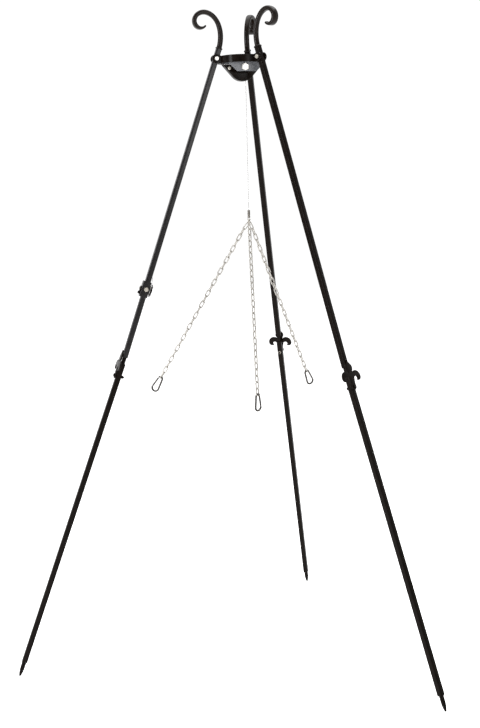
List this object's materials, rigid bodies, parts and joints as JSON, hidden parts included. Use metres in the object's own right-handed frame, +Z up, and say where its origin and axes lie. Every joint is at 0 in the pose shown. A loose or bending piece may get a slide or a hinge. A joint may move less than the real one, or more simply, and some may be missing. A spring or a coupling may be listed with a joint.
{
  "type": "campfire tripod",
  "caption": "Folding campfire tripod of square steel tube with scroll tops, a ring head, a pulley and hand-wheel cable hoist, and a chain sling with spring hooks.",
  "frame": {"origin": "on the ground in the middle of the footprint box of the three feet", "axes": "+Z up; +Y towards the rear leg; +X towards the right leg, seen with the rear leg away from the viewer"},
  "size_m": [1.1716, 1.0161, 1.7948],
  "materials": {
    "black_paint": "satin black coating",
    "zinc_plate": "bright zinc plate",
    "chain_steel": "zinc plated wire",
    "wire_rope": "bare twisted strands",
    "dark_steel": "dull grey"
  },
  "bodies": {
    "head": {"hub_ring": "black_paint", "pulley_cheek_front": "black_paint", "pulley_cheek_rear": "black_paint", "guard_strap": "black_paint", "housing_pin": "zinc_plate", "axle_bush_front": "black_paint", "axle_bush_rear": "black_paint", "axle_bolt": "zinc_plate", "axle_nut": "zinc_plate", "cable_head": "wire_rope", "pivot_bolt_rear": "zinc_plate", "pivot_nut_rear": "zinc_plate", "pivot_bolt_left": "zinc_plate", "pivot_nut_left": "zinc_plate", "pivot_bolt_right": "zinc_plate", "pivot_nut_right": "zinc_plate"},
    "pulley": {"pulley": "dark_steel"},
    "leg_rear": {"scroll_rear": "black_paint", "upper_tube_rear": "black_paint", "joint_bar_rear": "black_paint", "lower_tube_rear": "black_paint", "fleur_plate_rear": "black_paint", "fleur_bolt_rear": "black_paint", "fleur_nut_rear": "zinc_plate", "foot_spike_rear": "black_paint"},
    "leg_left": {"scroll_left": "black_paint", "upper_tube_left": "black_paint", "joint_bar_left": "black_paint", "lower_tube_left": "black_paint", "fleur_plate_left": "black_paint", "fleur_bolt_left": "black_paint", "fleur_nut_left": "black_paint", "foot_spike_left": "black_paint", "winder_clamp": "black_paint", "clamp_screw": "zinc_plate", "cable_leg": "wire_rope"},
    "leg_right": {"scroll_right": "black_paint", "upper_tube_right": "black_paint", "joint_bar_right": "black_paint", "lower_tube_right": "black_paint", "fleur_plate_right": "black_paint", "fleur_bolt_right": "black_paint", "fleur_nut_right": "black_paint", "foot_spike_right": "black_paint"},
    "winder": {"winding_wheel": "black_paint", "winder_axle": "dark_steel", "winder_crank": "black_paint", "cable_wound": "wire_rope"},
    "sling": {"sling_ferrule": "dark_steel", "sling_ring": "zinc_plate", "cable_drop": "wire_rope"},
    "chain_a": {"chain_a": "chain_steel"},
    "hook_a": {"spring_hook_a": "chain_steel"},
    "gate_a": {"hook_gate_a": "chain_steel"},
    "chain_b": {"chain_b": "chain_steel"},
    "hook_b": {"spring_hook_b": "chain_steel"},
    "gate_b": {"hook_gate_b": "chain_steel"},
    "chain_c": {"chain_c": "chain_steel"},
    "hook_c": {"spring_hook_c": "chain_steel"},
    "gate_c": {"hook_gate_c": "chain_steel"}
  },
  "joints": [
    {"name": "leg_rear_fold", "type": "hinge", "parent": "head", "child": "leg_rear", "pos_m": [0, -0.09605, 1.665], "axis": [-1, 0, 0], "range_deg": [0, 19.2]},
    {"name": "leg_left_fold", "type": "hinge", "parent": "head", "child": "leg_left", "pos_m": [-0.06261, -0.2045, 1.665], "axis": [0.5, -0.866, 0], "range_deg": [0, 19.2]},
    {"name": "leg_right_fold", "type": "hinge", "parent": "head", "child": "leg_right", "pos_m": [0.06261, -0.2045, 1.665], "axis": [0.5, 0.866, 0], "range_deg": [0, 19.2]},
    {"name": "pulley_turn", "type": "hinge", "parent": "head", "child": "pulley", "pos_m": [0, -0.16835, 1.641], "axis": [0.5, -0.866, 0], "range_deg": [-3500, 1800]},
    {"name": "hoist", "type": "slide", "parent": "head", "child": "sling", "axis": [0, 0, 1], "range_m": [-0.6, 0.3], "deforming": ["cable_drop"]},
    {"name": "winder_turn", "type": "hinge", "parent": "leg_left", "child": "winder", "pos_m": [-0.24802, -0.31155, 1.05021], "axis": [-0.8179, -0.4722, 0.3289], "range_deg": [-1700, 3300]},
    {"name": "chain_a_swing", "type": "hinge", "parent": "sling", "child": "chain_a", "pos_m": [0.00268, -0.16387, 1.221], "axis": [0.0872, -0.9962, 0], "range_deg": [-8, 28]},
    {"name": "hook_a_swing", "type": "hinge", "parent": "chain_a", "child": "hook_a", "pos_m": [-0.25788, -0.18667, 0.78569], "axis": [-0.0624, -0.994, 0.0894], "range_deg": [-30, 30]},
    {"name": "gate_a_open", "type": "hinge", "parent": "hook_a", "child": "gate_a", "pos_m": [-0.26189, -0.18596, 0.79076], "axis": [-0.0624, -0.994, 0.0894], "range_deg": [0, 25], "stiffness_Nm_per_rad": 0.02},
    {"name": "chain_b_swing", "type": "hinge", "parent": "sling", "child": "chain_b", "pos_m": [0.01051, -0.16906, 1.221], "axis": [0.9511, 0.309, 0], "range_deg": [-8, 25.5]},
    {"name": "hook_b_swing", "type": "hinge", "parent": "chain_b", "child": "hook_b", "pos_m": [0.0854, -0.39952, 0.77469], "axis": [0.554, 0.774, -0.3067], "range_deg": [-30, 30]},
    {"name": "gate_b_open", "type": "hinge", "parent": "hook_b", "child": "gate_b", "pos_m": [0.09003, -0.40115, 0.77895], "axis": [0.554, 0.774, -0.3067], "range_deg": [0, 25], "stiffness_Nm_per_rad": 0.02},
    {"name": "chain_c_swing", "type": "hinge", "parent": "sling", "child": "chain_c", "pos_m": [0.0112, -0.15791, 1.221], "axis": [-0.9063, 0.4226, 0], "range_deg": [-8, 25.5]},
    {"name": "hook_c_swing", "type": "hinge", "parent": "chain_c", "child": "hook_c", "pos_m": [0.11361, 0.06171, 0.77469], "axis": [-0.7246, 0.6695, 0.1632], "range_deg": [-30, 30]},
    {"name": "gate_c_open", "type": "hinge", "parent": "hook_c", "child": "gate_c", "pos_m": [0.11714, 0.06437, 0.77945], "axis": [-0.7246, 0.6695, 0.1632], "range_deg": [0, 25], "stiffness_Nm_per_rad": 0.02}
  ],
  "couplings": [
    {"joint": "pulley_turn", "follows": "hoist", "rad_per_m": 100},
    {"joint": "winder_turn", "follows": "hoist", "rad_per_m": -95.238}
  ]
}
